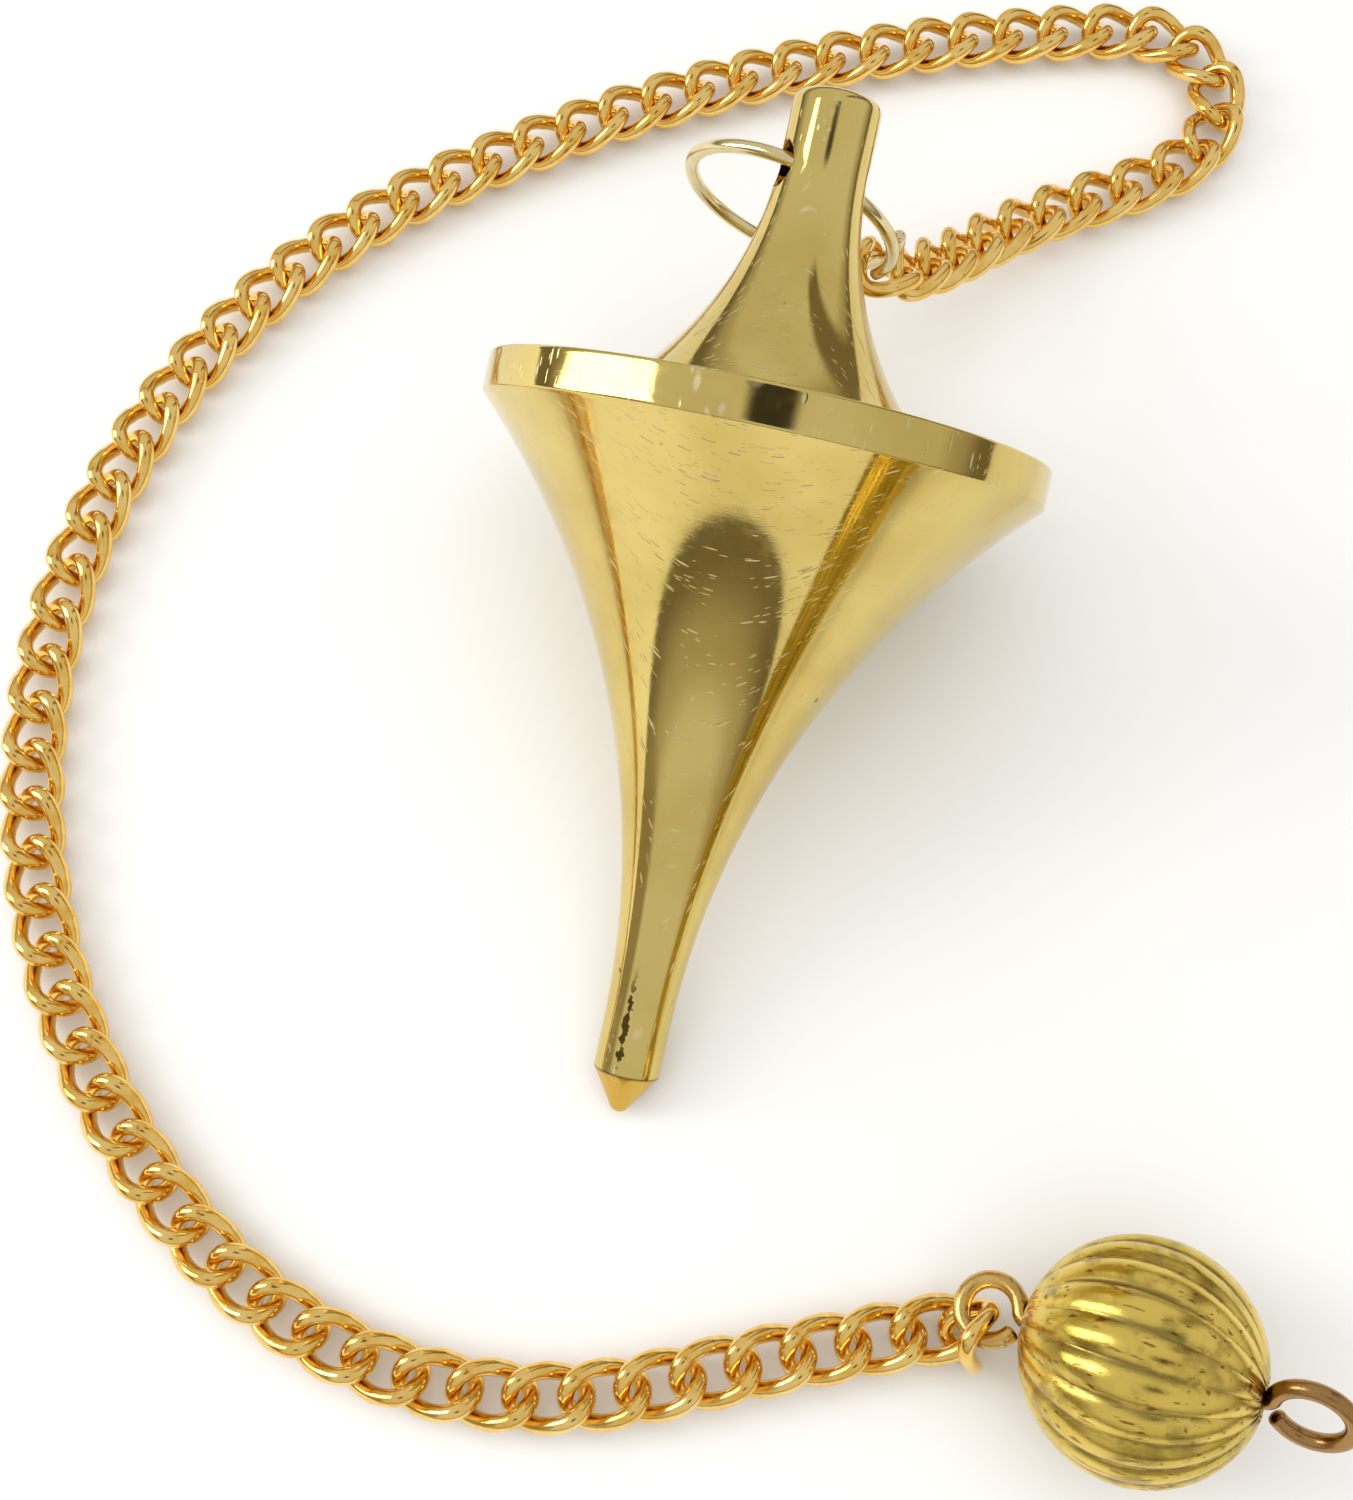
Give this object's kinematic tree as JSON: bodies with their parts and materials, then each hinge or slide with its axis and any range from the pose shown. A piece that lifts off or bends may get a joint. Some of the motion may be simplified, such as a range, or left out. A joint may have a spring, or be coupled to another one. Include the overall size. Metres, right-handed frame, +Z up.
{
  "type": "plumb bob",
  "caption": "Small turned brass plumb bob with a needle tip, on a jump ring and a long curb chain that ends in a fluted bead with a wire eye.",
  "frame": {"origin": "the plumb point, at the very tip of the bob", "axes": "+Z up; +Y the way the bob points along the table it lies on, from its tip to its neck; the table is 0.3 mm below the origin"},
  "size_m": [0.0655, 0.0778, 0.0239],
  "materials": {
    "bob_brass": "polished, lightly scratched",
    "ring_brass": "bright drawn wire",
    "chain_brass": "bright, golden",
    "bead_brass": "fluted, tarnished in the grooves",
    "eye_wire_brass": "tarnished drawn wire"
  },
  "bodies": {
    "bob": {"plumb_bob": "bob_brass"},
    "ring": {"jump_ring": "ring_brass"},
    "link_pair_01": {"link_pair_01": "chain_brass"},
    "link_pair_02": {"link_pair_02": "chain_brass"},
    "link_pair_03": {"link_pair_03": "chain_brass"},
    "link_pair_04": {"link_pair_04": "chain_brass"},
    "link_pair_05": {"link_pair_05": "chain_brass"},
    "link_pair_06": {"link_pair_06": "chain_brass"},
    "link_pair_07": {"link_pair_07": "chain_brass"},
    "link_pair_08": {"link_pair_08": "chain_brass"},
    "link_pair_09": {"link_pair_09": "chain_brass"},
    "link_pair_10": {"link_pair_10": "chain_brass"},
    "link_pair_11": {"link_pair_11": "chain_brass"},
    "link_pair_12": {"link_pair_12": "chain_brass"},
    "link_pair_13": {"link_pair_13": "chain_brass"},
    "link_pair_14": {"link_pair_14": "chain_brass"},
    "link_pair_15": {"link_pair_15": "chain_brass"},
    "link_pair_16": {"link_pair_16": "chain_brass"},
    "link_pair_17": {"link_pair_17": "chain_brass"},
    "link_pair_18": {"link_pair_18": "chain_brass"},
    "link_pair_19": {"link_pair_19": "chain_brass"},
    "link_pair_20": {"link_pair_20": "chain_brass"},
    "link_pair_21": {"link_pair_21": "chain_brass"},
    "link_pair_22": {"link_pair_22": "chain_brass"},
    "link_pair_23": {"link_pair_23": "chain_brass"},
    "link_pair_24": {"link_pair_24": "chain_brass"},
    "link_pair_25": {"link_pair_25": "chain_brass"},
    "link_pair_26": {"link_pair_26": "chain_brass"},
    "link_pair_27": {"link_pair_27": "chain_brass"},
    "link_pair_28": {"link_pair_28": "chain_brass"},
    "link_pair_29": {"link_pair_29": "chain_brass"},
    "link_pair_30": {"link_pair_30": "chain_brass"},
    "link_pair_31": {"link_pair_31": "chain_brass"},
    "link_pair_32": {"link_pair_32": "chain_brass"},
    "link_pair_33": {"link_pair_33": "chain_brass"},
    "link_pair_34": {"link_pair_34": "chain_brass"},
    "link_pair_35": {"link_pair_35": "chain_brass"},
    "link_pair_36": {"link_pair_36": "chain_brass"},
    "eye_wire": {"eye_wire": "eye_wire_brass"},
    "bead": {"fluted_bead": "bead_brass"}
  },
  "joints": [
    {"name": "ring_swing", "type": "hinge", "parent": "bob", "child": "ring", "pos_m": [0, 0.03897, 0.01566], "axis": [0.9397, 0.1275, -0.3173], "range_deg": [-40, 190]},
    {"name": "chain_hook", "type": "hinge", "parent": "ring", "child": "link_pair_01", "pos_m": [0.00251, 0.04028, 0.00784], "axis": [-0.4031, 0.7772, -0.4831], "range_deg": [-48, 20]},
    {"name": "link_joint_01", "type": "hinge", "parent": "link_pair_01", "child": "link_pair_02", "pos_m": [0.00516, 0.04218, 0.00536], "axis": [-0.8157, 0.5785, 0], "range_deg": [-26, 30]},
    {"name": "link_joint_02", "type": "hinge", "parent": "link_pair_02", "child": "link_pair_03", "pos_m": [0.00742, 0.04567, 0.00296], "axis": [-0.2412, -0.354, -0.9036], "range_deg": [-30, 30]},
    {"name": "link_joint_03", "type": "hinge", "parent": "link_pair_03", "child": "link_pair_04", "pos_m": [0.01031, 0.0491, 0.00131], "axis": [0.6921, -0.7218, 0], "range_deg": [-30, 28]},
    {"name": "link_joint_04", "type": "hinge", "parent": "link_pair_04", "child": "link_pair_05", "pos_m": [0.01407, 0.05198, 0.00063], "axis": [0.0371, 0.0255, 0.999], "range_deg": [-30, 30]},
    {"name": "link_joint_05", "type": "hinge", "parent": "link_pair_05", "child": "link_pair_06", "pos_m": [0.01756, 0.05525, 0.00062], "axis": [-0.8808, 0.4735, 0], "range_deg": [-16, 16]},
    {"name": "link_joint_06", "type": "hinge", "parent": "link_pair_06", "child": "link_pair_07", "pos_m": [0.01751, 0.05986, 0.00062], "axis": [0, 0, -1], "range_deg": [-4, 20]},
    {"name": "link_joint_07", "type": "hinge", "parent": "link_pair_07", "child": "link_pair_08", "pos_m": [0.01337, 0.06191, 0.00062], "axis": [-0.023, 0.9997, 0], "range_deg": [-20, 20]},
    {"name": "link_joint_08", "type": "hinge", "parent": "link_pair_08", "child": "link_pair_09", "pos_m": [0.00873, 0.0607, 0.00062], "axis": [0, 0, 1], "range_deg": [-30, 30]},
    {"name": "link_joint_09", "type": "hinge", "parent": "link_pair_09", "child": "link_pair_10", "pos_m": [0.00418, 0.05918, 0.00062], "axis": [0.3473, -0.9377, 0], "range_deg": [-30, 30]},
    {"name": "link_joint_10", "type": "hinge", "parent": "link_pair_10", "child": "link_pair_11", "pos_m": [-0.00027, 0.05737, 0.00062], "axis": [0, 0, -1], "range_deg": [-28, 30]},
    {"name": "link_joint_11", "type": "hinge", "parent": "link_pair_11", "child": "link_pair_12", "pos_m": [-0.0046, 0.0553, 0.00062], "axis": [-0.459, 0.8884, 0], "range_deg": [-30, 30]},
    {"name": "link_joint_12", "type": "hinge", "parent": "link_pair_12", "child": "link_pair_13", "pos_m": [-0.00879, 0.05297, 0.00062], "axis": [0, 0, 1], "range_deg": [-30, 26]},
    {"name": "link_joint_13", "type": "hinge", "parent": "link_pair_13", "child": "link_pair_14", "pos_m": [-0.01284, 0.05038, 0.00062], "axis": [0.5638, -0.8259, 0], "range_deg": [-30, 30]},
    {"name": "link_joint_14", "type": "hinge", "parent": "link_pair_14", "child": "link_pair_15", "pos_m": [-0.01672, 0.04756, 0.00062], "axis": [0, 0, -1], "range_deg": [-26, 30]},
    {"name": "link_joint_15", "type": "hinge", "parent": "link_pair_15", "child": "link_pair_16", "pos_m": [-0.02042, 0.0445, 0.00062], "axis": [-0.6642, 0.7475, 0], "range_deg": [-30, 30]},
    {"name": "link_joint_16", "type": "hinge", "parent": "link_pair_16", "child": "link_pair_17", "pos_m": [-0.02382, 0.04112, 0.00062], "axis": [0, 0, 1], "range_deg": [-30, 22]},
    {"name": "link_joint_17", "type": "hinge", "parent": "link_pair_17", "child": "link_pair_18", "pos_m": [-0.02672, 0.0373, 0.00062], "axis": [0.8383, -0.5453, 0], "range_deg": [-30, 30]},
    {"name": "link_joint_18", "type": "hinge", "parent": "link_pair_18", "child": "link_pair_19", "pos_m": [-0.02904, 0.0331, 0.00062], "axis": [0, 0, -1], "range_deg": [-22, 30]},
    {"name": "link_joint_19", "type": "hinge", "parent": "link_pair_19", "child": "link_pair_20", "pos_m": [-0.03075, 0.02862, 0.00062], "axis": [-0.9575, 0.2885, 0], "range_deg": [-30, 30]},
    {"name": "link_joint_20", "type": "hinge", "parent": "link_pair_20", "child": "link_pair_21", "pos_m": [-0.0318, 0.02394, 0.00062], "axis": [0, 0, 1], "range_deg": [-30, 22]},
    {"name": "link_joint_21", "type": "hinge", "parent": "link_pair_21", "child": "link_pair_22", "pos_m": [-0.03218, 0.01915, 0.00062], "axis": [1, -0.0085, 0], "range_deg": [-30, 30]},
    {"name": "link_joint_22", "type": "hinge", "parent": "link_pair_22", "child": "link_pair_23", "pos_m": [-0.03188, 0.01437, 0.00062], "axis": [0, 0, -1], "range_deg": [-22, 30]},
    {"name": "link_joint_23", "type": "hinge", "parent": "link_pair_23", "child": "link_pair_24", "pos_m": [-0.03091, 0.00967, 0.00062], "axis": [-0.9623, -0.2721, 0], "range_deg": [-30, 30]},
    {"name": "link_joint_24", "type": "hinge", "parent": "link_pair_24", "child": "link_pair_25", "pos_m": [-0.02928, 0.00516, 0.00062], "axis": [0, 0, 1], "range_deg": [-30, 24]},
    {"name": "link_joint_25", "type": "hinge", "parent": "link_pair_25", "child": "link_pair_26", "pos_m": [-0.02703, 0.00092, 0.00062], "axis": [0.8475, 0.5309, 0], "range_deg": [-30, 30]},
    {"name": "link_joint_26", "type": "hinge", "parent": "link_pair_26", "child": "link_pair_27", "pos_m": [-0.0242, -0.00295, 0.00062], "axis": [0, 0, -1], "range_deg": [-26, 30]},
    {"name": "link_joint_27", "type": "hinge", "parent": "link_pair_27", "child": "link_pair_28", "pos_m": [-0.02085, -0.00639, 0.00062], "axis": [-0.6647, -0.7471, 0], "range_deg": [-30, 30]},
    {"name": "link_joint_28", "type": "hinge", "parent": "link_pair_28", "child": "link_pair_29", "pos_m": [-0.01705, -0.00931, 0.00062], "axis": [0, 0, 1], "range_deg": [-30, 30]},
    {"name": "link_joint_29", "type": "hinge", "parent": "link_pair_29", "child": "link_pair_30", "pos_m": [-0.01283, -0.01158, 0.00062], "axis": [0.3746, 0.9272, 0], "range_deg": [-30, 30]},
    {"name": "link_joint_30", "type": "hinge", "parent": "link_pair_30", "child": "link_pair_31", "pos_m": [-0.00821, -0.01287, 0.00062], "axis": [0, 0, -1], "range_deg": [-28, 30]},
    {"name": "link_joint_31", "type": "hinge", "parent": "link_pair_31", "child": "link_pair_32", "pos_m": [-0.00342, -0.01308, 0.00062], "axis": [0.0679, -0.9977, 0], "range_deg": [-30, 30]},
    {"name": "link_joint_32", "type": "hinge", "parent": "link_pair_32", "child": "link_pair_33", "pos_m": [0.00129, -0.01222, 0.00062], "axis": [0, 0, 1], "range_deg": [-30, 28]},
    {"name": "link_joint_33", "type": "hinge", "parent": "link_pair_33", "child": "link_pair_34", "pos_m": [0.00571, -0.01036, 0.00062], "axis": [-0.4333, 0.9013, 0], "range_deg": [-30, 30]},
    {"name": "link_joint_34", "type": "hinge", "parent": "link_pair_34", "child": "link_pair_35", "pos_m": [0.01005, -0.0083, 0.00062], "axis": [0, 0, -1], "range_deg": [-30, 30]},
    {"name": "link_joint_35", "type": "hinge", "parent": "link_pair_35", "child": "link_pair_36", "pos_m": [0.01444, -0.00636, 0.00062], "axis": [0.3916, -0.9201, 0], "range_deg": [-30, 30]},
    {"name": "end_hook", "type": "hinge", "parent": "link_pair_36", "child": "eye_wire", "pos_m": [0.01711, -0.00567, 0.00248], "axis": [-0.868, 0.426, 0.255], "range_deg": [-48, 16]},
    {"name": "bead_spin", "type": "hinge", "parent": "eye_wire", "child": "bead", "pos_m": [0.02351, -0.00532, 0.00469], "axis": [0.9398, -0.0988, 0.3272], "continuous": true}
  ]
}
